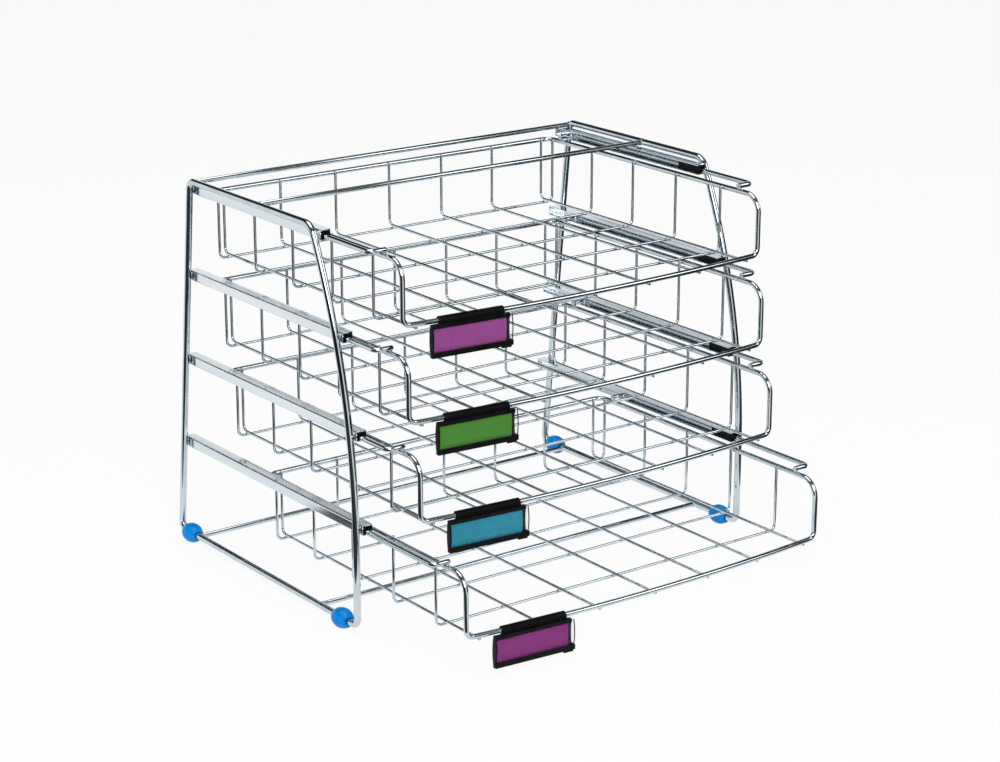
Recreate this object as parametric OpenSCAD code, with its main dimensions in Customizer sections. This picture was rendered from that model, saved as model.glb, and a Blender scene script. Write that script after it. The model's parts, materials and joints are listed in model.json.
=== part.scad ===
// Four-tier wire letter tray: two bent side loops, runners, and four wire baskets that slide forward.
// Millimetres, +Z up, front towards -Y, X across. The origin is on the desk, at the middle of the outline.

/* [Rack] */
// How much longer a bottom rail is than a basket
rail_extra = 1; // [0:0.5:40]
// Diameter of the side loops' rod
loop_d = 5.5; // [4.5:0.1:7]
// Lean of the rear posts from upright, in degrees
rear_lean = 6.3; // [0:0.1:12]
// Turn of the front posts where they reach their top bend, in degrees
front_sweep = 25; // [10:1:35]
// Height at which the front posts start to curve back
front_straight = 74; // [40:1:110]
// Bend radius between a front post and its top rail
front_top_bend = 12; // [8:0.5:24]
// Bend radius of the other three corners of a side loop
tight_bend = 6.5; // [5:0.5:8]
// Diameter of the crossbars
crossbar_d = 4; // [3:0.1:6]
// Middle top crossbar, behind the front post's foot
middle_bar_y = 128; // [90:1:180]
// Front bottom crossbar, behind the front post's foot
front_bar_y = 52; // [40:1:100]

/* [Feet] */
// Largest diameter of a barrel foot
foot_d = 15.8; // [12:0.1:22]
// Diameter of a foot at its two ends
foot_end_d = 9.5; // [8:0.1:12]
// Length of a foot along the rail
foot_len = 17.5; // [12:0.5:20]
// Depth of the flat on which a foot stands
foot_flat = 0.4; // [0.2:0.1:1]
// Free rail between a front foot and the front bend
front_foot_gap = 5.3; // [0.1:0.1:14]
// Free rail between a rear foot and the rear bend
rear_foot_gap = 0.1; // [0.1:0.1:20]
// Free rail between a rear foot and the rear bottom crossbar
rear_bar_gap = 0.6; // [0.3:0.1:20]

/* [Tiers] */
// Free height under the bottom tray's label holder
desk_gap = 4; // [1:0.1:20]
// Height from one tray's floor to the next
tier_pitch = 71.2; // [66:0.2:100]
// Free runner behind the top tray's slide rods, when that tray stands forward by nothing
rear_room = 14.7; // [2:0.1:30]
// How far the top tray stands forward
top_out = 0; // [0:0.5:100]
// How far the second tray stands forward
second_out = 6.5; // [0:0.5:100]
// How far the third tray stands forward
third_out = 20; // [0:0.5:100]
// How far the bottom tray stands forward
bottom_out = 75.5; // [0:0.5:100]

/* [Basket] */
// Width between the upright ends of the cross wires
basket_w = 330; // [290:1:400]
// Depth from the rear cross wire to the front legs
basket_depth = 259; // [215:1:320]
// Height of the rim above the floor wires
basket_h = 52.5; // [40:0.5:62]
// Diameter of the rim wire
rim_d = 4; // [3:0.1:5]
// Diameter of the thin basket wires
wire_d = 2.2; // [1.5:0.1:3]
// Bend radius of the thin wires
wire_bend = 5; // [3:0.5:12]
// Distance from the front legs back to the first cross wire
cross_front = 41.8; // [20:0.1:60]
// Distance from the basket's side to the outermost long wire
long_edge = 8.1; // [6.5:0.1:20]
// Rear wall of the long wires, behind the rear cross wire
rear_wall_y = 5.4; // [4:0.1:12]
// Bend radius of the rim's rear corners
rim_rear_bend = 9; // [6:0.5:16]
// Bend radius where the rim turns down at the front
rim_front_bend = 14; // [8:0.5:20]
// Bend radius where the front legs meet the front wire
rim_foot_bend = 6; // [4:0.5:10]
// Turn of the bowed front wire at each end, in degrees
front_bow = 6.3; // [2:0.1:10]

/* [Runners] */
// Height of a runner channel
runner_h = 8; // [7:0.1:12]
// Width of a runner's flanges
runner_w = 9; // [8:0.1:12]
// Gap between a tray's rim and the runner beside it
runner_room = 5.05; // [3:0.05:12]
// Sheet thickness of a runner
runner_t = 0.8; // [0.6:0.1:1.2]
// How far a runner reaches past each post
runner_over = 4; // [3:0.5:10]
// Diameter of a tray's slide rods
slide_d = 4; // [3:0.1:4.8]
// Bend radius of the slide rods' ends
slide_bend = 4; // [3.5:0.5:8]
// Front end of a slide rod, behind the basket's front legs
slide_front_gap = 23; // [18:1:60]
// Rear end of a slide rod, ahead of the rear cross wire
slide_rear = 8; // [6:1:40]
// Length of slide rod past the rim's centre
slide_lap = 2; // [1:0.5:6]
// Length of a runner bush inside its channel
bush_len = 24; // [10:1:40]

/* [Label] */
// Width of a label holder
label_w = 65.5; // [58:0.5:80]
// Height of a label holder's frame
label_h = 24.6; // [20:0.2:32]
// Middle of a label's sleeve, left of the tray's middle
label_off = 112.6; // [50:0.2:116]
// Middle of a label holder, left of its sleeve's middle
holder_shift = 2.9; // [0:0.1:6]
// Top of a label holder's frame, below the front wire's centre
label_drop = 1.3; // [0.5:0.1:3]
// Length of the sleeve that clips over the front wire
sleeve_len = 54; // [40:0.5:58]
// Thickness of the holder's plastic
label_t = 0.8; // [0.7:0.1:1.4]
// Height of the holder's top rail
rail_h = 2.9; // [2.8:0.1:5]
// Height of the holder's bottom rail
low_rail_h = 4.2; // [2.8:0.1:5]
// Lip of both rails, in front of the window
rail_lip = 0.5; // [0.4:0.1:1.2]
// How far the holder's back runs on past the top rail's right end
back_over = 1.8; // [0:0.1:3]
// Width of the bowed rib that closes the window's right end
rib_w = 0.7; // [0.5:0.1:1.5]
// How far the bottom rail runs on past that rib
rib_edge = 0.2; // [0.1:0.1:2]
// Length of the finger tab under the bottom rail
tab_len = 8; // [4:0.5:14]
// Height of the finger tab
tab_h = 1.5; // [0.8:0.1:3]
// Thickness of the clear window
window_t = 0.6; // [0.4:0.1:1]
// Forward bow of the window
window_bow = 1.4; // [1:0.1:1.8]
// How far the window runs on past the top rail's right end
window_over = 2; // [0:0.1:3]
// Thickness of the label card
card_t = 0.4; // [0.2:0.1:0.5]
// Forward bow of the card
card_bow = 1; // [0.5:0.1:1.4]
// How far the card ends short of the top rail's right end
card_short = 2.4; // [1:0.2:10]
// Rearward bow of the holder's back
back_bow = 1; // [0.6:0.1:3]

/* [Clearances] */
// Seam left between two welded or pressed pieces
seam = 0.08; // [0.06:0.01:0.15]
// Running gap under a slide rod, and around it in a bush
run_gap = 0.3; // [0.2:0.05:0.6]
// Gap between a slide rod and its runner's wall
side_gap = 1.2; // [0.6:0.1:2]
// Gap between the top runner and the top rail
rail_gap = 0.5; // [0.2:0.1:2]
// Free turning gap between a label's sleeve and the front wire
sleeve_gap = 0.45; // [0.4:0.05:0.8]
// Gap in front of and behind a label's card
sheet_gap = 0.3; // [0.2:0.05:0.5]
// Gap in front of a label's window, where it bows forward
window_room = 0.8; // [0.6:0.1:1.2]
// Gap around a bush in its channel, and above and below a label's card and window
slip = 0.1; // [0.05:0.05:0.2]

/* [Hidden] */
TIERS = ["top", "second", "third", "bottom"];
SIDES = ["left", "right"];
ENDS = ["front", "rear"];
TRAY_PARTS = ["rim", "cross_wires", "long_wires", "label_holder", "label_window", "label_card"];

$fn = 48;
CHROME = "silver";
STEEL = "lightsteelblue";
BLUE = "dodgerblue";
BLACK = "#1c1c1e";
CARDS = ["#9a4590", "#4a8a2a", "#4f9aa8", "#8e2e80"];
tray_out = [top_out, second_out, third_out, bottom_out];
cross_count = 5;
long_count = 7;
cut = 1;
sheet_fn = 160;
barrel_fn = 240;
bend_steps = 16;
bend_lap = 0.3;
bend_swell = 0.05;

// Tray sizes, from the rear cross wire's floor
rim_x = basket_w / 2 + wire_d / 2 + rim_d / 2 + seam;
rim_y = rear_wall_y + wire_d / 2 + rim_d / 2 + seam;
long_z = wire_d + seam;
front_z = long_z + wire_d / 2 + rim_d / 2 + seam;
wire_top = basket_h + wire_d / 2;
slide_z = basket_h + rim_d / 2 + slide_d / 2 + seam;
slide_front = basket_depth - slide_front_gap;
cross_pitch = (basket_depth - cross_front) / (cross_count - 1);
long_pitch = (basket_w - 2 * long_edge) / (long_count - 1);
function long_x(i) = (i - (long_count - 1) / 2) * long_pitch;

// Bowed front wire: half its span, its radius and its centre
bow_half = rim_x - rim_foot_bend * cos(front_bow);
bow_r = bow_half / sin(front_bow);
bow_centre_y = -basket_depth - rim_foot_bend * sin(front_bow) + bow_r * cos(front_bow);
function front_wire_y(x) = bow_centre_y - sqrt(bow_r * bow_r - x * x);

// Runner section, from a tray's floor and from the rack's middle
runner_x = rim_x + rim_d / 2 + runner_room + runner_w;
slide_x = runner_x - runner_t - side_gap - slide_d / 2;
runner_z = slide_z - slide_d / 2 - run_gap - runner_t;

// Label holder section: u backwards and v upwards from the front wire's centre
sleeve_in = rim_d / 2 + sleeve_gap;
sleeve_out = sleeve_in + label_t + slip;
label_turn = asin(label_off / bow_r);
rail_u = -sleeve_in - slip;
rail_depth = rail_lip + window_room + window_t + card_t + 2 * sheet_gap + label_t;
label_top = -label_drop;
label_low = label_top - label_h;
slot_depth = 1.8;
card_end = rail_u - label_t - sheet_gap - card_t / 2;
window_end = card_end - card_t / 2 - sheet_gap - window_t / 2;
back_end = rail_u - label_t / 2;
sheet_top = label_top - rail_h + slot_depth - slip;
sheet_low = label_low + low_rail_h - slot_depth + slip;
sheet_mid = (sheet_top + sheet_low) / 2;
sheet_half = (sheet_top - sheet_low) / 2;
holder_left = -label_w / 2 - holder_shift;
holder_right = label_w / 2 - holder_shift;
rib_left = holder_right + window_over + slip;
rib_right = rib_left + rib_w;
neck_w = 1.2;
cheek_t = 1.2;
cheek_lip = 0.4;
tab_gap = 1.3;
label_front = window_end - window_bow - window_t / 2;

// Notch that clears a long wire while the label swings: its width, and its turns from straight down
notch_w = 6;
notch_front = 12;
notch_rear = 135;

// Height of the bottom tray's floor, set by the label that hangs under its front wire
floor_h = desk_gap - label_low + tab_h - front_z;
function floor_z(t) = floor_h + (3 - t) * tier_pitch;

// Side loops
rack_w = 2 * (runner_x + seam) + loop_d;
rack_depth = basket_depth + rail_extra;
rail_low = foot_d / 2 - foot_flat;
rail_high = floor_h + 3 * tier_pitch + runner_z + runner_h + rail_gap + loop_d / 2;
sweep_r = (rail_high - front_straight - front_top_bend * (1 - sin(front_sweep))) / sin(front_sweep);
sweep_end_y = sweep_r * (1 - cos(front_sweep));
rail_start_y = sweep_end_y + front_top_bend * cos(front_sweep);
rear_top_y = rack_depth - tan(rear_lean) * (rail_high - rail_low);
top_corner_y = rear_top_y - tight_bend / tan(45 + rear_lean / 2);
function rear_post_y(z) = rack_depth - tan(rear_lean) * (z - rail_low);
function front_post_y(z) = z < front_straight
    ? 0
    : sweep_r - sqrt(pow(sweep_r, 2) - pow(z - front_straight, 2));

// Ends of a runner, just past the posts it is welded to
function runner_front(t) = front_post_y(floor_z(t) + slide_z) - runner_over;
function runner_rear(t) = rear_post_y(floor_z(t) + slide_z) + runner_over;

// Crossbars reach from loop to loop, and the rear top one meets the bend at this turn
corner_bar_turn = 60;
crossbar_len = rack_w - loop_d - 2 * seam;
rear_bend_y = rack_depth - tight_bend / tan(45 - rear_lean / 2);
front_foot_y = tight_bend + front_foot_gap + foot_len / 2;
rear_foot_y = rear_bend_y - rear_foot_gap - foot_len / 2;
rear_bar_y = rear_foot_y - foot_len / 2 - rear_bar_gap - crossbar_d / 2;

// Tray places: the top tray's slide rods stop short of the closed end of their runners
tray_back = runner_rear(0) - runner_t - rear_room - slide_d / 2 + slide_rear;

// The outline runs from the rear bend of the loops to the bottom tray's label
loop_rear_y = rear_bend_y + tight_bend + loop_d / 2;
label_front_y = tray_back - bottom_out + front_wire_y(label_off) + label_front * cos(label_turn)
    - rib_right * sin(label_turn);
middle_y = (loop_rear_y + label_front_y) / 2;

function unit(v) = v / norm(v);
function turn(a, p, b) = acos(unit(p - a) * unit(b - p));
function lap_turn(r) = bend_lap / r * 180 / PI;

// Placement of a piece from its three axes and its origin
function placement(x, y, z, o) = [
    [x.x, y.x, z.x, o.x],
    [x.y, y.y, z.y, o.y],
    [x.z, y.z, z.z, o.z]
];

// Straight round wire from a to b
module straight(a, b, d) {
    along = unit(b - a);
    aside = abs(along.z) > 0.9 ? [1, 0, 0] : [0, 0, 1];
    x = unit(cross(aside, along));
    multmatrix(placement(x, cross(along, x), along, a))
        cylinder(d = d, h = norm(b - a));
}

// Round wire bent about a centre, from the radial direction towards the travel direction.
// A bend is a hair thicker than the runs that end inside it.
module bend(centre, radial, travel, r, angle, d) {
    multmatrix(placement(radial, travel, cross(radial, travel), centre))
        rotate_extrude(angle = angle, $fn = ceil(360 / angle * bend_steps))
            translate([r, 0]) circle(d = d + bend_swell);
}

// Bend at corner p of a path that comes from a and goes to b
module corner(a, p, b, r, d) {
    u = unit(p - a);
    v = unit(b - p);
    inward = unit(v - u * (u * v));
    angle = turn(a, p, b);
    bend(p - u * r * tan(angle / 2) + inward * r, -inward, u, r, angle, d);
}

// One wire through a list of corners, each with its own bend radius
module bent_wire(points, radii, d) {
    last = len(points) - 1;
    trim = [for (i = [0:last]) i == 0 || i == last
        ? 0
        : radii[i] * tan(turn(points[i - 1], points[i], points[i + 1]) / 2) - bend_lap];
    for (i = [0:last - 1]) {
        along = unit(points[i + 1] - points[i]);
        straight(points[i] + along * trim[i], points[i + 1] - along * trim[i + 1], d);
    }
    for (i = [1:last - 1])
        corner(points[i - 1], points[i], points[i + 1], radii[i], d);
}

// Moves a piece from the front post's foot line to the part's frame
module in_rack() translate([0, -middle_y, 0]) children();

// Moves a piece from a tray's rear floor corner to its place in the rack
module in_tray(t) translate([0, tray_back - tray_out[t] - middle_y, floor_z(t)]) children();

// Draws the left side's piece, or its mirror image on the right
module on_side(s) mirror([s, 0, 0]) children();

// Side frame: one rod bent into a closed loop
module side_loop(s) color(CHROME) in_rack() on_side(s) {
    x = -rack_w / 2;
    bent_wire(
        [
            [x, rail_start_y - bend_lap, rail_high],
            [x, rear_top_y, rail_high],
            [x, rack_depth, rail_low],
            [x, 0, rail_low],
            [x, 0, front_straight + bend_lap]
        ],
        [0, tight_bend, tight_bend, tight_bend, 0], loop_d
    );
    sweep_turn = front_sweep + lap_turn(sweep_r);
    bend([x, sweep_r, front_straight], [0, -1, 0], [0, 0, 1], sweep_r, sweep_turn, loop_d);
    top_radial = [0, -cos(front_sweep), sin(front_sweep)];
    top_travel = [0, sin(front_sweep), cos(front_sweep)];
    bend(
        [x, rail_start_y, rail_high - front_top_bend], top_radial, top_travel,
        front_top_bend, 90 - front_sweep, loop_d + bend_swell
    );
}

// Rod from side loop to side loop
module crossbar(y, z) color(CHROME) in_rack()
    straight([-crossbar_len / 2, y, z], [crossbar_len / 2, y, z], crossbar_d);

module rear_top_crossbar() crossbar(
    top_corner_y + tight_bend * cos(corner_bar_turn),
    rail_high - tight_bend + tight_bend * sin(corner_bar_turn)
);

module middle_top_crossbar() crossbar(middle_bar_y, rail_high);

module rear_bottom_crossbar() crossbar(rear_bar_y, rail_low);

module front_bottom_crossbar() crossbar(front_bar_y, rail_low);

// Barrel-shaped sleeve foot pressed on a bottom rail, with a flat to stand on
module foot(s, e) color(BLUE) in_rack() on_side(s) {
    bulge = (foot_d - foot_end_d) / 2;
    barrel_r = (pow(foot_len / 2, 2) + pow(bulge, 2)) / (2 * bulge);
    bore_r = loop_d / 2 + seam;
    difference() {
        translate([-rack_w / 2, e == 0 ? front_foot_y : rear_foot_y, rail_low])
            rotate([90, 0, 0])
                rotate_extrude()
                    intersection() {
                        translate([bore_r, -foot_len / 2]) square([foot_d, foot_len]);
                        translate([foot_d / 2 - barrel_r, 0]) circle(barrel_r, $fn = barrel_fn);
                    }
        translate([-rack_w / 2 - foot_d, -foot_d, -foot_d])
            cube([2 * foot_d, rack_depth + 2 * foot_d, foot_d]);
    }
}

// Channel that a tray's slide rod runs in: open inwards, closed at the rear
module runner(t, s) color(STEEL) in_rack() on_side(s)
    translate([-runner_x, runner_front(t), floor_z(t) + runner_z])
        difference() {
            cube([runner_w, runner_rear(t) - runner_front(t), runner_h]);
            translate([runner_t, -cut, runner_t])
                cube([
                    runner_w,
                    runner_rear(t) - runner_front(t) - runner_t + cut,
                    runner_h - 2 * runner_t
                ]);
        }

// Plug in a runner's front end that steadies the slide rod and stops its rear end
module bush(t, s) color(BLACK) in_rack() on_side(s)
    translate([-runner_x, runner_front(t), floor_z(t) + runner_z]) {
        room_w = runner_w - runner_t;
        room_h = runner_h - 2 * runner_t;
        rod_x = runner_x - slide_x;
        rod_z = slide_z - runner_z;
        hole_r = slide_d / 2 + run_gap;
        difference() {
            translate([runner_t + slip, 0, runner_t + slip])
                cube([room_w - slip, bush_len, room_h - 2 * slip]);
            translate([rod_x, bush_len + cut, rod_z])
                rotate([90, 0, 0]) cylinder(r = hole_r, h = bush_len + 2 * cut);
            translate([rod_x - hole_r, -cut, 0])
                cube([2 * hole_r, bush_len + 2 * cut, rod_z]);
        }
    }

// Rod along one side of a tray, with both ends turned in over the rim
module slide_rod(t, s) color(CHROME) in_tray(t) on_side(s) {
    inner_x = -(rim_x - slide_lap);
    bent_wire(
        [
            [inner_x, -slide_front, slide_z],
            [-slide_x, -slide_front, slide_z],
            [-slide_x, -slide_rear, slide_z],
            [inner_x, -slide_rear, slide_z]
        ],
        [0, slide_bend, slide_bend, 0], slide_d
    );
}

// Rim of a basket: rear and sides at the top, legs down at the front, and a bowed front wire
module tray_rim(t) color(CHROME) in_tray(t) {
    leg_end = front_z + rim_foot_bend;
    bent_wire(
        [
            [-rim_x, -basket_depth, leg_end - bend_lap],
            [-rim_x, -basket_depth, basket_h],
            [-rim_x, rim_y, basket_h],
            [rim_x, rim_y, basket_h],
            [rim_x, -basket_depth, basket_h],
            [rim_x, -basket_depth, leg_end - bend_lap]
        ],
        [0, rim_front_bend, rim_rear_bend, rim_rear_bend, rim_front_bend, 0], rim_d
    );
    inward = [cos(front_bow), -sin(front_bow), 0];
    for (s = [0, 1])
        on_side(s)
            bend(
                [-rim_x, -basket_depth, leg_end] + inward * rim_foot_bend, -inward, [0, 0, -1],
                rim_foot_bend, 90, rim_d + bend_swell
            );
    bow_turn = front_bow + lap_turn(bow_r);
    bend(
        [0, bow_centre_y, front_z],
        [-sin(bow_turn), -cos(bow_turn), 0], [cos(bow_turn), -sin(bow_turn), 0],
        bow_r, 2 * bow_turn, rim_d
    );
}

// U-shaped wires from rim to rim, under the long wires
module tray_cross_wires(t) color(CHROME) in_tray(t)
    for (i = [0:cross_count - 1])
        translate([0, -i * cross_pitch, 0])
            bent_wire(
                [
                    [-basket_w / 2, 0, wire_top],
                    [-basket_w / 2, 0, 0],
                    [basket_w / 2, 0, 0],
                    [basket_w / 2, 0, wire_top]
                ],
                [0, wire_bend, wire_bend, 0], wire_d
            );

// L-shaped wires down the rear wall and along the floor to the front wire
module tray_long_wires(t) color(CHROME) in_tray(t)
    for (i = [0:long_count - 1]) {
        x = long_x(i);
        bent_wire(
            [
                [x, rear_wall_y, wire_top],
                [x, rear_wall_y, long_z],
                [x, front_wire_y(x) + run_gap, long_z]
            ],
            [0, wire_bend, 0], wire_d
        );
    }

// Moves a piece to a tray's front wire, along the wire where the label hangs
module at_label(t) in_tray(t)
    translate([-label_off, front_wire_y(label_off), front_z])
        rotate([0, 0, -label_turn]) children();

// Extrudes a section drawn in u and v along the wire
module along_label(from, to)
    translate([from, 0, 0]) rotate([90, 0, 90]) linear_extrude(to - from) children();

// Radius of the arc that a strip of the sheets' height takes when it bows by a given amount
function arc_r(bow) = (pow(sheet_half, 2) + pow(bow, 2)) / (2 * bow);

// Point in the label's section, at a turn from straight down towards the rear
function section_point(r, turn) = [r * sin(turn), -r * cos(turn)];

// Bowed strip between the two rails: forward for a positive bow
module bowed_strip(end_u, bow, t) {
    r = arc_r(abs(bow));
    intersection() {
        translate([end_u - bow + sign(bow) * r, sheet_mid])
            difference() {
                circle(r + t / 2, $fn = sheet_fn);
                circle(r - t / 2, $fn = sheet_fn);
            }
        translate([end_u - bow - rail_depth, sheet_low])
            square([2 * rail_depth + 2 * abs(bow), sheet_top - sheet_low]);
    }
}

// Rail with a slot for the window and the card, and the slot opens towards way
module label_rail_section(v, h, way) {
    difference() {
        translate([rail_u - rail_depth, v]) square([rail_depth, h]);
        translate([rail_u - rail_depth + rail_lip, way > 0 ? v + h - slot_depth : v - cut])
            square([rail_depth - rail_lip - label_t, slot_depth + cut]);
    }
}

// Sleeve over the front wire, notched where the long wires end under it
module label_sleeve() difference() {
    reach = 2 * sleeve_out;
    along_label(-sleeve_len / 2, sleeve_len / 2)
        difference() {
            union() {
                circle(sleeve_out);
                translate([rail_u - neck_w, label_top - cut]) square([neck_w, cut - label_top]);
            }
            circle(sleeve_in);
        }
    for (i = [0:long_count - 1]) {
        x = long_x(i) + label_off;
        along_label(x - notch_w / 2, x + notch_w / 2)
            polygon([
                [0, 0],
                section_point(reach, -notch_front),
                [reach, -reach],
                section_point(reach, notch_rear)
            ]);
    }
}

// Rib that stands in the bottom rail's slot, bowed like the window beside it
module label_rib() along_label(rib_left, rib_right) {
    bowed_strip(window_end, window_bow, window_t);
    translate([window_end - window_t / 2, sheet_low - slip - cut]) square([window_t, cut + 2 * slip]);
}

// Black holder: the sleeve, two slotted rails, a bowed back, a rib, a closed left end and a finger tab
module tray_label_holder(t) color(BLACK) at_label(t) {
    low_end = rib_right + rib_edge;
    label_sleeve();
    label_rib();
    along_label(holder_left, holder_right)
        label_rail_section(label_top - rail_h, rail_h, -1);
    along_label(holder_left, holder_right + back_over)
        bowed_strip(back_end, -back_bow, label_t);
    along_label(holder_left, low_end)
        label_rail_section(label_low, low_rail_h, 1);
    along_label(holder_left, holder_left + cheek_t)
        intersection() {
            translate([back_end + back_bow - arc_r(back_bow), sheet_mid])
                circle(arc_r(back_bow) + label_t / 2, $fn = sheet_fn);
            translate([label_front - cheek_lip + arc_r(window_bow), sheet_mid])
                circle(arc_r(window_bow), $fn = sheet_fn);
            translate([-2 * rail_depth, label_low]) square([4 * rail_depth, label_h]);
        }
    along_label(low_end - tab_gap - tab_len, low_end - tab_gap)
        translate([rail_u - rail_depth + rail_lip, label_low - tab_h])
            square([rail_depth / 2, tab_h + cut]);
}

// Clear window, sprung between the rails
module tray_label_window(t) color("white", 0.3) at_label(t)
    along_label(holder_left + cheek_t + slip, holder_right + window_over)
        bowed_strip(window_end, window_bow, window_t);

// Plain coloured card behind the window, drawn out of the open right end
module tray_label_card(t) color(CARDS[t]) at_label(t)
    along_label(holder_left + cheek_t + slip, holder_right - card_short)
        bowed_strip(card_end, card_bow, card_t);

for (s = [0, 1]) {
    side_loop(s);
    for (e = [0, 1])
        foot(s, e);
}
rear_top_crossbar();
middle_top_crossbar();
rear_bottom_crossbar();
front_bottom_crossbar();
for (t = [0:3]) {
    for (s = [0, 1]) {
        runner(t, s);
        bush(t, s);
        slide_rod(t, s);
    }
    tray_rim(t);
    tray_cross_wires(t);
    tray_long_wires(t);
    tray_label_holder(t);
    tray_label_window(t);
    tray_label_card(t);
}
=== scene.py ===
import json
import math

import bmesh
import bpy
from mathutils import Matrix, Vector


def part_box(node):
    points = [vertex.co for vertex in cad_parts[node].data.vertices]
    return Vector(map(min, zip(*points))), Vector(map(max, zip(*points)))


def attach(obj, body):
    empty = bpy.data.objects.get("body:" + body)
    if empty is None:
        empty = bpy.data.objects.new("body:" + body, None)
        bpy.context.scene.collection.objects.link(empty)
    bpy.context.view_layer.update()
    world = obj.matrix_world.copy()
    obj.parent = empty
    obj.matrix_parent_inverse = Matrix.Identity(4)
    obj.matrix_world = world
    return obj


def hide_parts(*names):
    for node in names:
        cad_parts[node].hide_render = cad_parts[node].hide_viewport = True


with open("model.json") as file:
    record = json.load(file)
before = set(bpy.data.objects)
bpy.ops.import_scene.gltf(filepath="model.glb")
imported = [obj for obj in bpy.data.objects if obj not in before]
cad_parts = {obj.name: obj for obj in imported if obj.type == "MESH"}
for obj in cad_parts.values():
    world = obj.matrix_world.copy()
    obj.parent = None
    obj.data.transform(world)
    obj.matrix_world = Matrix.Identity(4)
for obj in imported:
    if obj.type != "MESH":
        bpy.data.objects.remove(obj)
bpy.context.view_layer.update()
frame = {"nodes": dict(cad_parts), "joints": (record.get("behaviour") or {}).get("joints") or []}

# Names that repeat
TIERS = ("top", "second", "third", "bottom")
SIDES = {"left": -1, "right": 1}
ENDS = ("front", "rear")
CROSSBARS = ("rear_top", "middle_top", "rear_bottom", "front_bottom")

# Rack sizes, in metres and radians
MM = 0.001
LOOP_R = 2.75 * MM
CROSSBAR_R = 2 * MM
RACK_DEPTH = 260 * MM
REAR_LEAN = math.radians(6.3)
FRONT_SWEEP = math.radians(25)
FRONT_STRAIGHT = 74 * MM
FRONT_TOP_BEND = 12 * MM
TIGHT_BEND = 6.5 * MM
FRONT_BAR_Y = 52 * MM
RUNNER_T = 0.8 * MM
RUNNER_FOLD = 1.3 * MM
RUNNER_EDGE = 0.15 * MM
RUNNER_EDGE_ANGLE = math.radians(40)

# Tray sizes
WIRE_R = 1.1 * MM
RIM_R = 2 * MM
SLIDE_R = 2 * MM
SEAM = 0.08 * MM
BASKET_W = 330 * MM
BASKET_DEPTH = 259 * MM
BASKET_H = 52.5 * MM
WIRE_BEND = 5 * MM
CROSS_FRONT = 41.8 * MM
CROSS_COUNT = 5
LONG_EDGE = 8.1 * MM
LONG_COUNT = 7
REAR_WALL_Y = 5.4 * MM
RIM_REAR_BEND = 9 * MM
RIM_FRONT_BEND = 14 * MM
RIM_FOOT_BEND = 6 * MM
FRONT_BOW = math.radians(6.3)
SLIDE_BEND = 4 * MM
SLIDE_FRONT = 236 * MM
SLIDE_REAR = 8 * MM
SLIDE_LAP = 2 * MM
SLIDE_WALL_GAP = 1.2 * MM
LONG_END_GAP = 0.3 * MM

# Weld nuggets: half sizes, and how far they sit from what they join
CROSSBAR_WELD = (0.9 * MM, 1.25 * CROSSBAR_R, 1.25 * CROSSBAR_R)
RUNNER_WELD = (0.6 * MM, 0.8 * MM, 3.1 * MM)
RUNNER_WELD_OUT = 0.2 * MM
RUNNER_WELD_ASIDE = 1.1 * MM
WIRE_WELD_WIDE = 1.3 * MM
WIRE_WELD_THIN = 0.55 * MM
SLIDE_WELD = (1.7 * MM, 1.7 * MM, 0.7 * MM)
FRONT_WELD_BACK = 1.1 * MM

# Feet, with the lip as shares of its size along the rail and towards it
FOOT_R = 7.9 * MM
FOOT_END_R = 4.75 * MM
FOOT_LIP = 0.7 * MM
FOOT_LIP_CURVE = ((0.55, 0.45), (0.9, 0.9), (1, 1.3))
FOOT_BORE_EDGE = 0.4 * MM

# Edge rounding of the moulded pieces and the label sheets
BUSH_EDGE = 0.3 * MM
HOLDER_EDGE = 0.12 * MM
WINDOW_EDGE = 0.15 * MM
CARD_EDGE = 0.05 * MM
EDGE_SEGMENTS = 2
EDGE_ANGLE = math.radians(32)
FLAT_ANGLE = math.radians(1)

# Mesh fineness: how far a bend's chords may stray from its arc, how a wire's ends are rounded,
# as shares of its radius, which slivers are merged, and counts of sides and steps
CHORD_ERROR = 0.015 * MM
TUBE_SIDES = 20
END_ROUND = 0.35
END_SOFT = 0.3
SLIVER = 0.06 * MM
BEAD_SIDES = 12
BEAD_RINGS = 8
BOW_STEPS = 32
FOLD_STEPS = 5
FOOT_SIDES = 48
FOOT_STEPS = 24

# Camera: its place from the top tray's rear edge, its dip and its turn from straight ahead
CAMERA_PLACE = (-1.15608, -1.70894, 0.51552)
CAMERA_DIP = math.radians(17.44)
CAMERA_TURN = math.radians(36.52)
CAMERA_LENS = 92.67
CAMERA_SENSOR = 36

# Floor: half its width, the share that shows as plain white, and its finish
FLOOR_HALF = 8
FLOOR_WHITE = 0.92
FLOOR_COLOUR = (0.96, 0.96, 0.96, 1)
FLOOR_GLOSS = 0.1
MATTE_ROUGH = 0.9

# Dark cards around the rack: reach, height above the floor, rise at the far edge, colour, and
# sectors in degrees
DARK_NEAR = 0.3
DARK_FAR = 3
DARK_LIFT = 1 * MM
DARK_RISE = 0.95
DARK_STEPS = 24
DARK_COLOUR = (0.01, 0.012, 0.016, 1)
DARK_SECTORS = {"card_right": (-78, 50), "card_left": (150, 242)}

# Studio walls and ceiling: degrees above the horizon, and how bright the wall is there
SKY_LEVELS = ((0, 0.97), (19, 0.97), (23, 0.03), (50, 0.03), (57, 0.2), (90, 0.2))

# Lamps: place, size and power, all aimed at the middle of the rack
LAMP_TARGET = (0, 0, 0.15)
LAMPS = {
    "overhead": ((-0.3, 0.1, 1.95), 1.3, 16),
    "key": ((-1.2, -1.9, 1.5), 1.4, 32),
    "fill": ((1.35, -1.5, 1.35), 1.0, 9),
}

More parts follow.
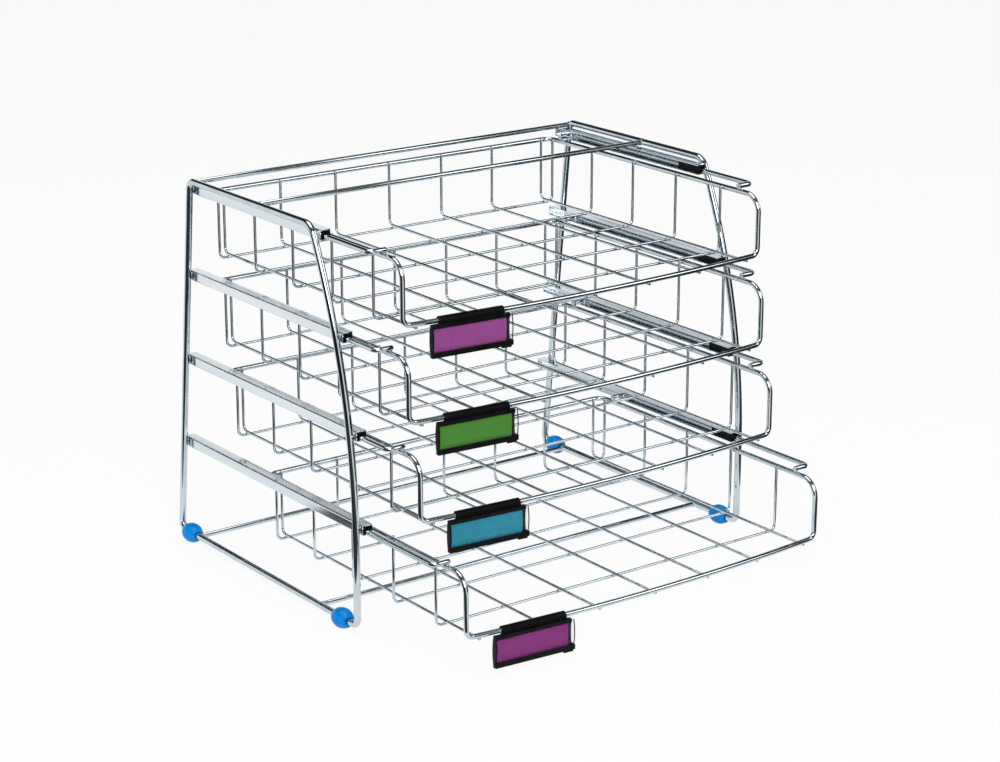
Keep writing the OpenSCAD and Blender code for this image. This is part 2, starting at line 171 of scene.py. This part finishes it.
# Finishes: the colours that a surface drifts between, its roughness, the cells of its drift and
# of its grain in a metre, its grain's depth and its gloss
CHROME_CELLS = (60, 700)
CHROME_COLOURS = (0.50, 0.58, 0.62), (0.62, 0.68, 0.71)
CHROME_ROUGH = (0.04, 0.11)
CHROME_GRAIN = 0.004 * MM
RUNNER_COLOURS = (0.66, 0.73, 0.77), (0.77, 0.82, 0.85)
RUNNER_ROUGH = (0.10, 0.20)
RUNNER_GRAIN = 0.0008 * MM
ALONG_RUNNER = (1, 0.05, 1)
PLASTIC_CELLS = (120, 1500)
PLASTIC_IOR = 1.5
BLUE_COLOURS = (0.0004, 0.21, 0.64), (0.0008, 0.30, 0.82)
BLUE_ROUGH = (0.16, 0.28)
BLUE_GRAIN = 0.01 * MM
BLUE_GLOSS = 0.15
BLACK_COLOURS = (0.0012, 0.0012, 0.0016), (0.004, 0.004, 0.005)
BLACK_ROUGH = (0.32, 0.46)
BLACK_GRAIN = 0.02 * MM
BLACK_GLOSS = 0.1
CLEAR_CELLS = 300
CLEAR_COLOURS = (0.10, 0.12, 0.12), (0.16, 0.18, 0.18)
CLEAR_ROUGH = (0.02, 0.08)
CLEAR_GRAIN = 0.003 * MM
CLEAR_ALPHA = 0.07
CLEAR_IOR = 1.46
PAPER_CELLS = (500, 2500)
CARD_COLOURS = {
    "top": (0.33, 0.055, 0.29),
    "second": (0.06, 0.27, 0.018),
    "third": (0.016, 0.30, 0.43),
    "bottom": (0.27, 0.02, 0.22),
}
PAPER_SHADE = 0.86
PAPER_ROUGH = (0.6, 0.8)
PAPER_GRAIN = 0.02 * MM
PAPER_GLOSS = 0.1

# Noise: detail of the drift and of the grain, and its usual range for colours and other numbers
DRIFT_DETAIL = 3
GRAIN_DETAIL = 2
RAMP_RANGE = (0.35, 0.65)
SPREAD_RANGE = (0.3, 0.7)

# Tray places that follow from those sizes, from the middle of a tray's rear floor edge
RIM_X = BASKET_W / 2 + WIRE_R + RIM_R + SEAM
RIM_Y = REAR_WALL_Y + WIRE_R + RIM_R + SEAM
LONG_Z = 2 * WIRE_R + SEAM
FRONT_Z = LONG_Z + WIRE_R + RIM_R + SEAM
WIRE_TOP = BASKET_H + WIRE_R
SLIDE_Z = BASKET_H + RIM_R + SLIDE_R + SEAM
CROSS_PITCH = (BASKET_DEPTH - CROSS_FRONT) / (CROSS_COUNT - 1)
LONG_PITCH = (BASKET_W - 2 * LONG_EDGE) / (LONG_COUNT - 1)
BOW_R = (RIM_X - RIM_FOOT_BEND * math.cos(FRONT_BOW)) / math.sin(FRONT_BOW)
BOW_CENTRE_Y = -BASKET_DEPTH - RIM_FOOT_BEND * math.sin(FRONT_BOW) + BOW_R * math.cos(FRONT_BOW)
CROSS_Y = [-i * CROSS_PITCH for i in range(CROSS_COUNT)]
LONG_X = [(i - (LONG_COUNT - 1) / 2) * LONG_PITCH for i in range(LONG_COUNT)]


def front_wire_y(x):
    """Where the bowed front wire runs, at a distance x from the tray's middle."""
    return BOW_CENTRE_Y - math.sqrt(BOW_R ** 2 - x ** 2)


def joint(name):
    return next(j for j in frame["joints"] if j["name"] == name)


def middle(node):
    low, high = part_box(node)
    return (low + high) / 2


def tray_origin(tier):
    """The middle of a tray's rear floor edge, found from the label's pivot on the front wire."""
    pivot = Vector(joint(f"{tier}_label_swing")["pos_m"])
    return Vector((0, pivot.y - front_wire_y(pivot.x), pivot.z - FRONT_Z))


# Shader nodes


def new_material(name):
    """A new material, its node tree and its main shader."""
    material = bpy.data.materials.new(name)
    material.use_nodes = True
    return material, material.node_tree, material.node_tree.nodes["Principled BSDF"]


def noise(tree, scale, detail=DRIFT_DETAIL, stretch=(1, 1, 1)):
    """Noise over the object, in cells per metre, drawn out along an axis by a small stretch."""
    place = tree.nodes.new("ShaderNodeTexCoord")
    mapping = tree.nodes.new("ShaderNodeMapping")
    mapping.inputs["Scale"].default_value = stretch
    texture = tree.nodes.new("ShaderNodeTexNoise")
    texture.inputs["Scale"].default_value = scale
    texture.inputs["Detail"].default_value = detail
    tree.links.new(place.outputs["Object"], mapping.inputs["Vector"])
    tree.links.new(mapping.outputs["Vector"], texture.inputs["Vector"])
    return texture.outputs["Fac"]


def ramp(tree, value, low, high):
    """Colours from low to high as the value goes through the noise's usual range."""
    node = tree.nodes.new("ShaderNodeValToRGB")
    first, last = node.color_ramp.elements
    first.position, last.position = RAMP_RANGE
    first.color, last.color = (*low, 1), (*high, 1)
    tree.links.new(value, node.inputs["Fac"])
    return node.outputs["Color"]


def spread(tree, value, low, high):
    """Numbers from low to high as the value goes through the noise's usual range."""
    node = tree.nodes.new("ShaderNodeMapRange")
    node.inputs["From Min"].default_value, node.inputs["From Max"].default_value = SPREAD_RANGE
    node.inputs["To Min"].default_value = low
    node.inputs["To Max"].default_value = high
    tree.links.new(value, node.inputs["Value"])
    return node.outputs["Result"]


def bump(tree, shader, height, depth):
    """Small relief of a given depth in metres."""
    node = tree.nodes.new("ShaderNodeBump")
    node.inputs["Strength"].default_value = 1
    node.inputs["Distance"].default_value = depth
    tree.links.new(height, node.inputs["Height"])
    tree.links.new(node.outputs["Normal"], shader.inputs["Normal"])


def surface(name, low, high, rough, cells, grain_depth, stretch=(1, 1, 1)):
    """Colour that drifts from low to high, roughness that drifts with it, and a fine grain."""
    material, tree, shader = new_material(name)
    drift_cells, grain_cells = cells
    drift = noise(tree, drift_cells, DRIFT_DETAIL, stretch)
    grain = noise(tree, grain_cells, GRAIN_DETAIL, stretch)
    tree.links.new(ramp(tree, drift, low, high), shader.inputs["Base Color"])
    tree.links.new(spread(tree, drift, *rough), shader.inputs["Roughness"])
    bump(tree, shader, grain, grain_depth)
    return material, shader


def chrome(name, low, high, rough, grain_depth, stretch=(1, 1, 1)):
    material, shader = surface(name, low, high, rough, CHROME_CELLS, grain_depth, stretch)
    shader.inputs["Metallic"].default_value = 1
    return material


def plastic(name, low, high, rough, grain_depth, gloss):
    material, shader = surface(name, low, high, rough, PLASTIC_CELLS, grain_depth)
    shader.inputs["IOR"].default_value = PLASTIC_IOR
    shader.inputs["Specular IOR Level"].default_value = gloss
    return material


def paper(name, colour):
    shade = [c * PAPER_SHADE for c in colour]
    material, shader = surface(name, shade, colour, PAPER_ROUGH, PAPER_CELLS, PAPER_GRAIN)
    shader.inputs["Specular IOR Level"].default_value = PAPER_GLOSS
    return material


def clear_plastic(name):
    material, tree, shader = new_material(name)
    scuff = noise(tree, CLEAR_CELLS)
    shader.inputs["Alpha"].default_value = CLEAR_ALPHA
    shader.inputs["IOR"].default_value = CLEAR_IOR
    tree.links.new(ramp(tree, scuff, *CLEAR_COLOURS), shader.inputs["Base Color"])
    tree.links.new(spread(tree, scuff, *CLEAR_ROUGH), shader.inputs["Roughness"])
    bump(tree, shader, scuff, CLEAR_GRAIN)
    return material


MATERIALS = {
    "chrome_wire": chrome("chrome_wire", *CHROME_COLOURS, CHROME_ROUGH, CHROME_GRAIN),
    "runner_steel": chrome(
        "runner_steel", *RUNNER_COLOURS, RUNNER_ROUGH, RUNNER_GRAIN, ALONG_RUNNER
    ),
    "blue_plastic": plastic("blue_plastic", *BLUE_COLOURS, BLUE_ROUGH, BLUE_GRAIN, BLUE_GLOSS),
    "black_plastic": plastic(
        "black_plastic", *BLACK_COLOURS, BLACK_ROUGH, BLACK_GRAIN, BLACK_GLOSS
    ),
    "clear_window": clear_plastic("clear_window"),
}
for tier_name, card_colour in CARD_COLOURS.items():
    MATERIALS[f"{tier_name}_card"] = paper(f"{tier_name}_card", card_colour)

# Mesh tools


def add_object(name, data):
    """A new object in the scene."""
    thing = bpy.data.objects.new(name, data)
    bpy.context.scene.collection.objects.link(thing)
    return thing


def add_mesh(name, bm, material):
    """A new object in the scene from a built mesh."""
    mesh = bpy.data.meshes.new(name)
    bm.to_mesh(mesh)
    bm.free()
    mesh.materials.append(material)
    return add_object(name, mesh)


def finish_piece(bm, name, node, body, slot):
    """Turns a mesh into a piece that rides on a body, and stands for a node where one is named."""
    piece = add_mesh(name, bm, MATERIALS[slot])
    faces = piece.data.polygons
    faces.foreach_set("use_smooth", [True] * len(faces))
    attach(piece, body)
    if node:
        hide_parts(node)
    return piece


def arc(centre, start, onward, radius, turn):
    """Points on an arc that leaves the direction start and turns towards onward."""
    chord_turn = 2 * math.acos(1 - CHORD_ERROR / radius)
    steps = max(2, math.ceil(turn / chord_turn))
    angles = [turn * i / steps for i in range(steps + 1)]
    return [centre + radius * (start * math.cos(a) + onward * math.sin(a)) for a in angles]


def bent_path(points, radii):
    """Centreline of a wire through its corners, each turned at its own bend radius."""
    path = [points[0]]
    for before, corner, after, radius in zip(points, points[1:], points[2:], radii):
        along = (corner - before).normalized()
        away = (after - corner).normalized()
        turn = along.angle(away)
        inward = (away - along * along.dot(away)).normalized()
        centre = corner - along * radius * math.tan(turn / 2) + inward * radius
        path += arc(centre, -inward, along, radius, turn)
    return path + [points[-1]]


def tidy_path(path):
    """The path without points that repeat the one before."""
    kept = [path[0]]
    for point in path[1:]:
        if (point - kept[-1]).length > SEAM:
            kept.append(point)
    return kept


def mirrored(points):
    """The points on the other side of a tray's middle, in reverse order."""
    return [Vector((-p.x, p.y, p.z)) for p in reversed(points)]


def ring_frames(path, closed):
    """Tangents and normals along a path, with no twist left where a closed path meets itself."""
    count = len(path)
    tangents = []
    for i, point in enumerate(path):
        before = path[i - 1] if closed or i else point
        after = path[(i + 1) % count] if closed or i < count - 1 else point
        tangents.append(((after - point).normalized() + (point - before).normalized()).normalized())
    normals = [tangents[0].orthogonal().normalized()]
    for earlier, later in zip(tangents, tangents[1:]):
        normals.append((earlier.rotation_difference(later) @ normals[-1]).normalized())
    if closed:
        back = (tangents[-1].rotation_difference(tangents[0]) @ normals[-1]).normalized()
        gap = math.atan2(back.cross(normals[0]).dot(tangents[0]), back.dot(normals[0]))
        for i, tangent in enumerate(tangents):
            normals[i] = Matrix.Rotation(gap * i / count, 3, tangent) @ normals[i]
    return list(zip(tangents, normals))


def add_ring(bm, centre, tangent, normal, radius):
    aside = tangent.cross(normal)
    ring = []
    for i in range(TUBE_SIDES):
        a = 2 * math.pi * i / TUBE_SIDES
        outward = normal * math.cos(a) + aside * math.sin(a)
        ring.append(bm.verts.new(centre + radius * outward))
    return ring


def join_rings(bm, one, two):
    """Faces between two rings of as many points."""
    for i in range(len(one)):
        j = (i + 1) % len(one)
        bm.faces.new((one[i], one[j], two[j], two[i]))


def tube(bm, path, radius, closed=False):
    """Round wire along a path, with softly rounded ends where it isn't a closed loop."""
    path = tidy_path(path)
    if closed and (path[0] - path[-1]).length < SEAM:
        path.pop()
    frames = ring_frames(path, closed)
    spots = [(p, t, n, radius) for p, (t, n) in zip(path, frames)]
    if not closed:
        edge = END_ROUND * radius
        (p0, t0, n0, _), (p1, t1, n1, _) = spots[0], spots[-1]
        spots[0] = (p0 + t0 * edge, t0, n0, radius)
        spots[-1] = (p1 - t1 * edge, t1, n1, radius)
        soft = edge * END_SOFT
        spots = [(p0, t0, n0, radius - edge), (p0 + t0 * soft, t0, n0, radius - soft)] + spots
        spots += [(p1 - t1 * soft, t1, n1, radius - soft), (p1, t1, n1, radius - edge)]
    rings = [add_ring(bm, *spot) for spot in spots]
    for one, two in zip(rings, rings[1:]):
        join_rings(bm, one, two)
    if closed:
        join_rings(bm, rings[-1], rings[0])
    else:
        bm.faces.new(reversed(rings[0]))
        bm.faces.new(rings[-1])


def bead(bm, centre, radii):
    """Weld nugget: a small lens of metal where two wires meet."""
    shape = Matrix.Translation(centre) @ Matrix.Diagonal((*radii, 1))
    bmesh.ops.create_uvsphere(
        bm, u_segments=BEAD_SIDES, v_segments=BEAD_RINGS, radius=1, matrix=shape
    )


def rounded_copy(node, body, slot, width):
    """The node's own shape with its sharp edges rounded."""
    bm = bmesh.new()
    bm.from_mesh(frame["nodes"][node].data)
    bmesh.ops.remove_doubles(bm, verts=bm.verts, dist=SLIVER)
    bmesh.ops.dissolve_degenerate(bm, edges=bm.edges, dist=SLIVER)
    bmesh.ops.dissolve_limit(bm, angle_limit=FLAT_ANGLE, verts=bm.verts, edges=bm.edges)
    piece = finish_piece(bm, f"{node}_moulded", node, body, slot)
    rounding = piece.modifiers.new("rounding", "BEVEL")
    rounding.width = width
    rounding.segments = EDGE_SEGMENTS
    rounding.limit_method = "ANGLE"
    rounding.angle_limit = EDGE_ANGLE
    rounding.use_clamp_overlap = False
    flats = piece.modifiers.new("flats", "WEIGHTED_NORMAL")
    flats.keep_sharp = True
    return piece


# Rack


LOOP_X = middle("right_side_loop").x
RAIL_LOW = middle("rear_bottom_crossbar").z
RAIL_HIGH = middle("middle_top_crossbar").z
FRONT_Y = middle("front_bottom_crossbar").y - FRONT_BAR_Y
SWEEP_RISE = RAIL_HIGH - FRONT_STRAIGHT - FRONT_TOP_BEND * (1 - math.sin(FRONT_SWEEP))
SWEEP_R = SWEEP_RISE / math.sin(FRONT_SWEEP)


def front_post_y(z):
    """Where a front post runs, at a height z."""
    rise = max(0, z - FRONT_STRAIGHT)
    return FRONT_Y + SWEEP_R - math.sqrt(SWEEP_R ** 2 - rise ** 2)


def rear_post_y(z):
    """Where a rear post runs, at a height z."""
    return FRONT_Y + RACK_DEPTH - math.tan(REAR_LEAN) * (z - RAIL_LOW)


def side_loop(side, way):
    x = way * LOOP_X
    sweep_end = FRONT_Y + SWEEP_R * (1 - math.cos(FRONT_SWEEP))
    rail_start = sweep_end + FRONT_TOP_BEND * math.cos(FRONT_SWEEP)
    corners = [
        Vector((x, rail_start, RAIL_HIGH)),
        Vector((x, rear_post_y(RAIL_HIGH), RAIL_HIGH)),
        Vector((x, rear_post_y(RAIL_LOW), RAIL_LOW)),
        Vector((x, FRONT_Y, RAIL_LOW)),
        Vector((x, FRONT_Y, FRONT_STRAIGHT)),
    ]
    path = bent_path(corners, [TIGHT_BEND] * 3)
    back, up = Vector((0, 1, 0)), Vector((0, 0, 1))
    path += arc(Vector((x, FRONT_Y + SWEEP_R, FRONT_STRAIGHT)), -back, up, SWEEP_R, FRONT_SWEEP)
    out = up * math.sin(FRONT_SWEEP) - back * math.cos(FRONT_SWEEP)
    onward = up * math.cos(FRONT_SWEEP) + back * math.sin(FRONT_SWEEP)
    top_centre = Vector((x, rail_start, RAIL_HIGH - FRONT_TOP_BEND))
    path += arc(top_centre, out, onward, FRONT_TOP_BEND, math.pi / 2 - FRONT_SWEEP)
    bm = bmesh.new()
    tube(bm, path, LOOP_R, closed=True)
    finish_piece(bm, f"{side}_side_loop_rod", f"{side}_side_loop", "rack", "chrome_wire")


def crossbar(node):
    low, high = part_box(node)
    bar = middle(node)
    bm = bmesh.new()
    tube(bm, [Vector((low.x, bar.y, bar.z)), Vector((high.x, bar.y, bar.z))], CROSSBAR_R)
    for x in (low.x, high.x):
        bead(bm, (x, bar.y, bar.z), CROSSBAR_WELD)
    finish_piece(bm, f"{node}_rod", node, "rack", "chrome_wire")


def foot(node):
    """Barrel foot turned about its rail, with rounded lips, cut flat where it stands."""
    low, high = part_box(node)
    centre = Vector((middle(node).x, middle(node).y, RAIL_LOW))
    half = (high.y - low.y) / 2
    bulge = FOOT_R - FOOT_END_R
    barrel_r = (half ** 2 + bulge ** 2) / (2 * bulge)
    edge = math.asin((half - FOOT_LIP) / barrel_r)
    outline = []
    for i in range(FOOT_STEPS + 1):
        a = -edge + 2 * edge * i / FOOT_STEPS
        outline.append((barrel_r * math.sin(a), FOOT_R - barrel_r * (1 - math.cos(a))))
    lip_y, lip_r = outline[-1]
    lip = [(lip_y + FOOT_LIP * s, lip_r - FOOT_LIP * d) for s, d in FOOT_LIP_CURVE]
    bore = LOOP_R + SEAM
    ends = lip + [(half, bore + FOOT_BORE_EDGE), (half - FOOT_BORE_EDGE, bore)]
    outline = [(-y, r) for y, r in reversed(ends)] + outline + ends
    bm = bmesh.new()
    angles = [2 * math.pi * i / FOOT_SIDES for i in range(FOOT_SIDES)]
    rings = []
    for y, r in outline:
        ring = [centre + Vector((r * math.cos(a), y, r * math.sin(a))) for a in angles]
        rings.append([bm.verts.new(point) for point in ring])
    for one, two in zip(rings, rings[1:] + rings[:1]):
        join_rings(bm, one, two)
    parts = bm.verts[:] + bm.edges[:] + bm.faces[:]
    cut = bmesh.ops.bisect_plane(
        bm, geom=parts, plane_co=(0, 0, 0), plane_no=(0, 0, -1), clear_outer=True
    )
    rim = [e for e in cut["geom_cut"] if isinstance(e, bmesh.types.BMEdge)]
    bmesh.ops.contextual_create(bm, geom=rim)
    bmesh.ops.recalc_face_normals(bm, faces=bm.faces)
    finish_piece(bm, f"{node}_moulded", node, "rack", "blue_plastic")


def fold(centre, start, turn, radius):
    """Corner of a folded section in the XZ plane, as points on an arc."""
    angles = [start + turn * i / FOLD_STEPS for i in range(FOLD_STEPS + 1)]
    return [(centre[0] + radius * math.cos(a), centre[1] + radius * math.sin(a)) for a in angles]


def runner(node, way):
    """Channel folded from sheet, open inwards, with its rear end closed by a tab."""
    low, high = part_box(node)
    wide, tall = high.x - low.x, high.z - low.z
    roof = tall - RUNNER_T
    inner = RUNNER_FOLD - RUNNER_T
    quarter = math.pi / 2
    lower = (RUNNER_FOLD, RUNNER_FOLD)
    upper = (RUNNER_FOLD, tall - RUNNER_FOLD)
    section = [(wide, 0), *fold(lower, 3 * quarter, -quarter, RUNNER_FOLD)]
    section += [*fold(upper, 2 * quarter, -quarter, RUNNER_FOLD), (wide, tall)]
    section += [(wide, roof), *fold(upper, quarter, quarter, inner)]
    section += [*fold(lower, 2 * quarter, quarter, inner), (wide, RUNNER_T)]
    tab = [(wide, RUNNER_T), (RUNNER_T, RUNNER_T), (RUNNER_T, roof), (wide, roof)]
    outer = high.x if way > 0 else low.x
    bm = bmesh.new()
    for outline, start in ((section, low.y), (tab, high.y - RUNNER_T)):
        rings = []
        for y in (start, high.y):
            rings.append([bm.verts.new((outer - way * x, y, low.z + z)) for x, z in outline])
        join_rings(bm, *rings)
        for ring in rings:
            bm.faces.new(ring)
    bmesh.ops.recalc_face_normals(bm, faces=bm.faces)
    piece = finish_piece(bm, f"{node}_folded", node, "rack", "runner_steel")
    rounding = piece.modifiers.new("rounding", "BEVEL")
    rounding.width = RUNNER_EDGE
    rounding.limit_method = "ANGLE"
    rounding.angle_limit = RUNNER_EDGE_ANGLE
    piece.modifiers.new("flats", "WEIGHTED_NORMAL")


def runner_welds(tier, side, way):
    """Beads on both sides of each post where a runner is welded to it."""
    low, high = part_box(f"{tier}_{side}_runner")
    wall = (high.x if way > 0 else low.x) + way * SEAM / 2
    z = (low.z + high.z) / 2
    bm = bmesh.new()
    for post in (front_post_y(z), rear_post_y(z)):
        for aside in (-1, 1):
            place = (wall + way * RUNNER_WELD_OUT, post + aside * RUNNER_WELD_ASIDE, z)
            bead(bm, place, RUNNER_WELD)
    finish_piece(bm, f"{tier}_{side}_runner_welds", None, "rack", "chrome_wire")


# Trays


def tray_rim(tier, origin):
    leg_end = FRONT_Z + RIM_FOOT_BEND
    left = [
        Vector((-RIM_X, -BASKET_DEPTH, leg_end)),
        Vector((-RIM_X, -BASKET_DEPTH, BASKET_H)),
        Vector((-RIM_X, RIM_Y, BASKET_H)),
    ]
    bends = [RIM_FRONT_BEND, RIM_REAR_BEND, RIM_REAR_BEND, RIM_FRONT_BEND]
    path = bent_path(left + mirrored(left), bends)
    inward = Vector((-math.cos(FRONT_BOW), -math.sin(FRONT_BOW), 0))
    down = Vector((0, 0, -1))
    foot_bend = arc(path[-1] + inward * RIM_FOOT_BEND, -inward, down, RIM_FOOT_BEND, math.pi / 2)
    bow = []
    for i in range(1, BOW_STEPS):
        a = FRONT_BOW * (1 - 2 * i / BOW_STEPS)
        bow.append(Vector((BOW_R * math.sin(a), BOW_CENTRE_Y - BOW_R * math.cos(a), FRONT_Z)))
    path += foot_bend + bow + mirrored(foot_bend)
    bm = bmesh.new()
    tube(bm, [origin + p for p in path], RIM_R, closed=True)
    finish_piece(bm, f"{tier}_tray_rim_rod", f"{tier}_tray_rim", f"{tier}_tray", "chrome_wire")


def tray_cross_wires(tier, origin):
    bm = bmesh.new()
    for y in CROSS_Y:
        left = [Vector((-BASKET_W / 2, y, WIRE_TOP)), Vector((-BASKET_W / 2, y, 0))]
        path = bent_path(left + mirrored(left), [WIRE_BEND] * 2)
        tube(bm, [origin + p for p in path], WIRE_R)
    node = f"{tier}_tray_cross_wires"
    finish_piece(bm, f"{node}_bent", node, f"{tier}_tray", "chrome_wire")


def tray_long_wires(tier, origin):
    bm = bmesh.new()
    for x in LONG_X:
        corners = [
            Vector((x, REAR_WALL_Y, WIRE_TOP)),
            Vector((x, REAR_WALL_Y, LONG_Z)),
            Vector((x, front_wire_y(x) + LONG_END_GAP, LONG_Z)),
        ]
        tube(bm, [origin + p for p in bent_path(corners, [WIRE_BEND])], WIRE_R)
    node = f"{tier}_tray_long_wires"
    finish_piece(bm, f"{node}_bent", node, f"{tier}_tray", "chrome_wire")


def slide_rod(tier, side, way, origin):
    low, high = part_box(f"{tier}_{side}_runner")
    wall = high.x if way > 0 else -low.x
    x = wall - RUNNER_T - SLIDE_WALL_GAP - SLIDE_R
    lap = RIM_X - SLIDE_LAP
    corners = [
        Vector((way * lap, -SLIDE_FRONT, SLIDE_Z)),
        Vector((way * x, -SLIDE_FRONT, SLIDE_Z)),
        Vector((way * x, -SLIDE_REAR, SLIDE_Z)),
        Vector((way * lap, -SLIDE_REAR, SLIDE_Z)),
    ]
    bm = bmesh.new()
    tube(bm, [origin + p for p in bent_path(corners, [SLIDE_BEND] * 2)], SLIDE_R)
    node = f"{tier}_{side}_slide_rod"
    finish_piece(bm, f"{node}_bent", node, f"{tier}_tray", "chrome_wire")


def tray_welds(tier, origin):
    """Nuggets at every crossing of a tray's wires."""
    wide, thin = WIRE_WELD_WIDE, WIRE_WELD_THIN
    spots = [((x, y, WIRE_R + SEAM / 2), (wide, wide, thin)) for x in LONG_X for y in CROSS_Y]
    for way in (-1, 1):
        x = way * (BASKET_W / 2 + WIRE_R + SEAM / 2)
        spots += [((x, y, BASKET_H), (thin, wide, wide)) for y in CROSS_Y]
        rim_top = BASKET_H + RIM_R + SEAM / 2
        spots += [((way * RIM_X, -y, rim_top), SLIDE_WELD) for y in (SLIDE_FRONT, SLIDE_REAR)]
    rear = REAR_WALL_Y + WIRE_R + SEAM / 2
    spots += [((x, rear, BASKET_H), (wide, thin, wide)) for x in LONG_X]
    under = LONG_Z + WIRE_R + SEAM / 2
    spots += [((x, front_wire_y(x) + FRONT_WELD_BACK, under), (wide, wide, thin)) for x in LONG_X]
    bm = bmesh.new()
    for centre, radii in spots:
        bead(bm, origin + Vector(centre), radii)
    finish_piece(bm, f"{tier}_tray_welds", None, f"{tier}_tray", "chrome_wire")


def build_rack():
    for side, way in SIDES.items():
        side_loop(side, way)
        for end in ENDS:
            foot(f"{side}_{end}_foot")
        for tier in TIERS:
            runner(f"{tier}_{side}_runner", way)
            runner_welds(tier, side, way)
            rounded_copy(f"{tier}_{side}_bush", "rack", "black_plastic", BUSH_EDGE)
    for bar in CROSSBARS:
        crossbar(f"{bar}_crossbar")


def build_tray(tier):
    origin = tray_origin(tier)
    tray_rim(tier, origin)
    tray_cross_wires(tier, origin)
    tray_long_wires(tier, origin)
    tray_welds(tier, origin)
    for side, way in SIDES.items():
        slide_rod(tier, side, way, origin)
    rounded_copy(f"{tier}_tray_label_holder", f"{tier}_label", "black_plastic", HOLDER_EDGE)
    rounded_copy(f"{tier}_tray_label_window", f"{tier}_label", "clear_window", WINDOW_EDGE)
    rounded_copy(f"{tier}_tray_label_card", f"{tier}_card", f"{tier}_card", CARD_EDGE)


# Stage


def seen_as_background(tree):
    """One where the camera, a reflection or clear plastic shows it, and nought for its light."""
    path = tree.nodes.new("ShaderNodeLightPath")
    seen = path.outputs["Is Camera Ray"]
    for ray in ("Is Glossy Ray", "Is Transmission Ray"):
        either = tree.nodes.new("ShaderNodeMath")
        either.operation = "MAXIMUM"
        tree.links.new(seen, either.inputs[0])
        tree.links.new(path.outputs[ray], either.inputs[1])
        seen = either.outputs[0]
    return seen


def build_world():
    world = bpy.data.worlds.new("studio")
    bpy.context.scene.world = world
    world.use_nodes = True
    tree = world.node_tree
    place = tree.nodes.new("ShaderNodeTexCoord")
    parts = tree.nodes.new("ShaderNodeSeparateXYZ")
    levels = tree.nodes.new("ShaderNodeValToRGB")
    while len(levels.color_ramp.elements) < len(SKY_LEVELS):
        levels.color_ramp.elements.new(1)
    for element, (rise, level) in zip(levels.color_ramp.elements, SKY_LEVELS):
        element.position = math.sin(math.radians(rise))
        element.color = (level, level, level, 1)
    tree.links.new(place.outputs["Generated"], parts.inputs[0])
    tree.links.new(parts.outputs["Z"], levels.inputs["Fac"])
    tree.links.new(levels.outputs["Color"], tree.nodes["Background"].inputs["Color"])


def build_floor():
    bm = bmesh.new()
    bmesh.ops.create_grid(bm, x_segments=1, y_segments=1, size=FLOOR_HALF)
    material, tree, shader = new_material("floor")
    floor = add_mesh("floor", bm, material)
    floor.location.z = -SEAM
    shader.inputs["Base Color"].default_value = FLOOR_COLOUR
    shader.inputs["Roughness"].default_value = MATTE_ROUGH
    shader.inputs["Specular IOR Level"].default_value = FLOOR_GLOSS
    glow = tree.nodes.new("ShaderNodeEmission")
    glow.inputs["Strength"].default_value = 1
    share = tree.nodes.new("ShaderNodeMath")
    share.operation = "MULTIPLY"
    share.inputs[1].default_value = FLOOR_WHITE
    mix = tree.nodes.new("ShaderNodeMixShader")
    tree.links.new(seen_as_background(tree), share.inputs[0])
    tree.links.new(share.outputs[0], mix.inputs["Fac"])
    tree.links.new(shader.outputs[0], mix.inputs[1])
    tree.links.new(glow.outputs[0], mix.inputs[2])
    tree.links.new(mix.outputs[0], tree.nodes["Material Output"].inputs["Surface"])


def lamp(name, place, size, power):
    data = bpy.data.lights.new(name, "AREA")
    data.size = size
    data.energy = power
    light = add_object(name, data)
    light.location = place
    aim = Vector(LAMP_TARGET) - Vector(place)
    light.rotation_euler = aim.to_track_quat("-Z", "Y").to_euler()


def dark_card(name, start, end):
    """Dark card that lies, then stands, around part of the rack, and shows only in reflections."""
    outline = ((DARK_NEAR, DARK_LIFT), (DARK_FAR, DARK_LIFT), (DARK_FAR, DARK_RISE))
    bm = bmesh.new()
    rows = []
    for i in range(DARK_STEPS + 1):
        a = math.radians(start + (end - start) * i / DARK_STEPS)
        rows.append([bm.verts.new((r * math.cos(a), r * math.sin(a), z)) for r, z in outline])
    for one, two in zip(rows, rows[1:]):
        for i in range(len(outline) - 1):
            bm.faces.new((one[i], one[i + 1], two[i + 1], two[i]))
    material, _, shader = new_material(name)
    shader.inputs["Base Color"].default_value = DARK_COLOUR
    shader.inputs["Roughness"].default_value = MATTE_ROUGH
    card = add_mesh(name, bm, material)
    card.visible_camera = False
    card.visible_diffuse = False
    card.visible_transmission = False
    card.visible_shadow = False


def build_camera():
    """The photograph's viewpoint, placed from the top tray."""
    data = bpy.data.cameras.new("camera")
    data.lens = CAMERA_LENS
    data.sensor_width = CAMERA_SENSOR
    camera = add_object("camera", data)
    camera.location = tray_origin("top") + Vector(CAMERA_PLACE)
    camera.rotation_euler = (math.pi / 2 - CAMERA_DIP, 0, -CAMERA_TURN)
    bpy.context.scene.camera = camera


build_camera()
build_rack()
for tier_name in TIERS:
    build_tray(tier_name)
build_world()
build_floor()
for card_name, sector in DARK_SECTORS.items():
    dark_card(card_name, *sector)
for lamp_name, lamp_values in LAMPS.items():
    lamp(lamp_name, *lamp_values)
bpy.context.scene.view_settings.view_transform = "Standard"
